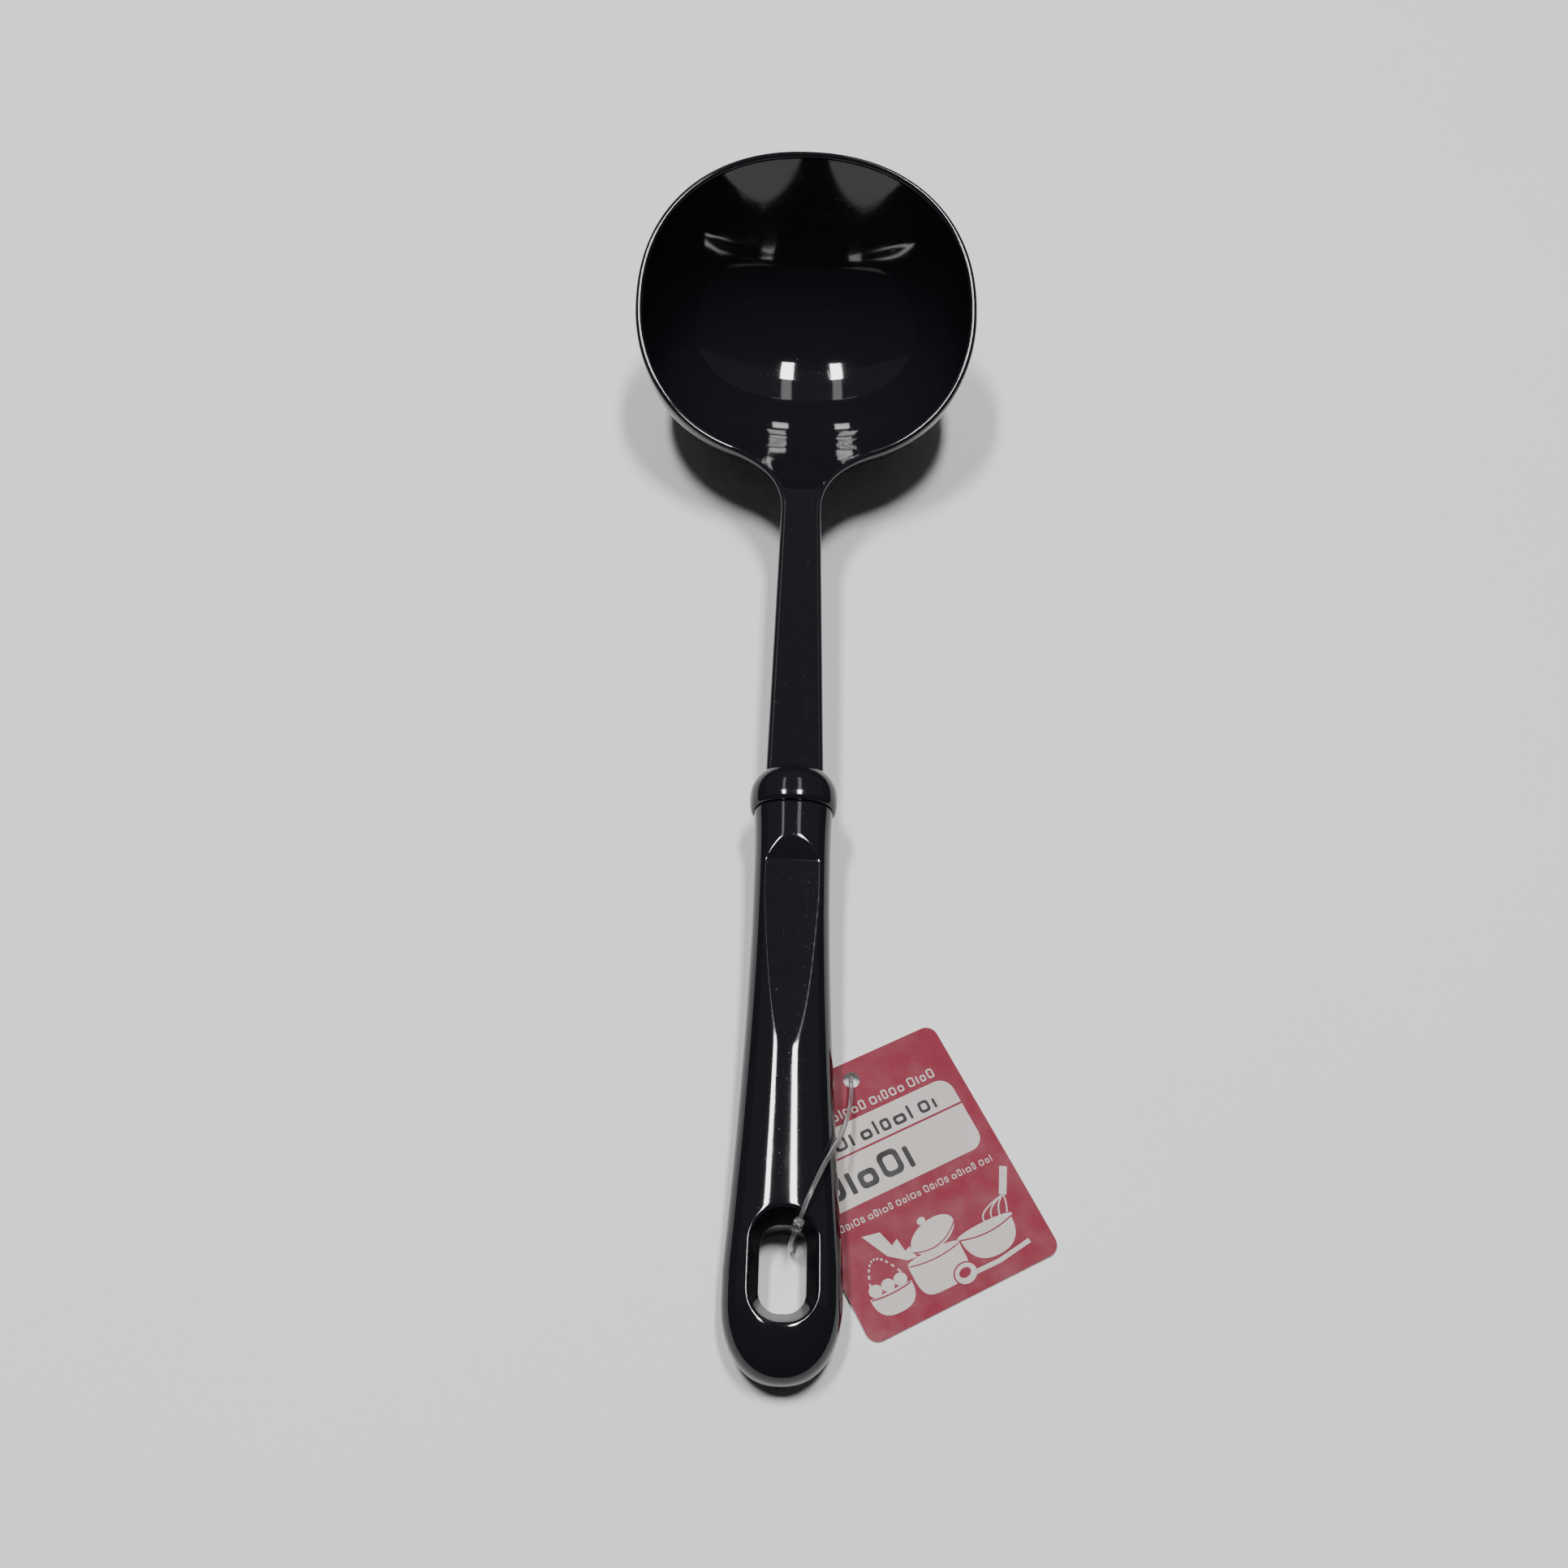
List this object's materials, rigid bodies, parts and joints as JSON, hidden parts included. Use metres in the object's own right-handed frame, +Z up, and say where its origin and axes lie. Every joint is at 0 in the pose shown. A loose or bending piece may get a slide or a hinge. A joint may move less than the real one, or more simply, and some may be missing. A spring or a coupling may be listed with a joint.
{
  "type": "nylon soup ladle with hang tag",
  "caption": "Glossy black moulded soup ladle with round deep bowl, flat-faced shank, beaded collar, hang-hole grip and a card hang tag on a clear loop.",
  "frame": {"origin": "on the table, under the middle of the ladle's bounding box as it lies, without the hang tag", "axes": "+Z up from the table, +Y from the grip's end towards the bowl, +X to the right"},
  "size_m": [0.0972, 0.2984, 0.0548],
  "materials": {
    "nylon_black": "mirror gloss moulded nylon",
    "collar_black": "gloss moulded plastic",
    "grip_black": "gloss moulded plastic",
    "card_print": "semi-matt coated card, red and off-white print",
    "clear_nylon": "clear nylon filament"
  },
  "bodies": {
    "ladle": {"ladle_head": "nylon_black", "collar": "collar_black", "handle": "grip_black"},
    "loop": {"tag_loop": "clear_nylon", "loop_lock": "clear_nylon"},
    "tag": {"tag_card": "card_print"}
  },
  "joints": [
    {"name": "loop_swing", "type": "hinge", "parent": "ladle", "child": "loop", "pos_m": [0.0014, -0.1235, 0], "axis": [0, 0, 1], "range_deg": [-12, 1]},
    {"name": "tag_turn", "type": "hinge", "parent": "loop", "child": "tag", "pos_m": [0.0134, -0.088, 0.00203], "axis": [0.0194, -0.0371, 0.9991], "range_deg": [-4, 60]}
  ]
}
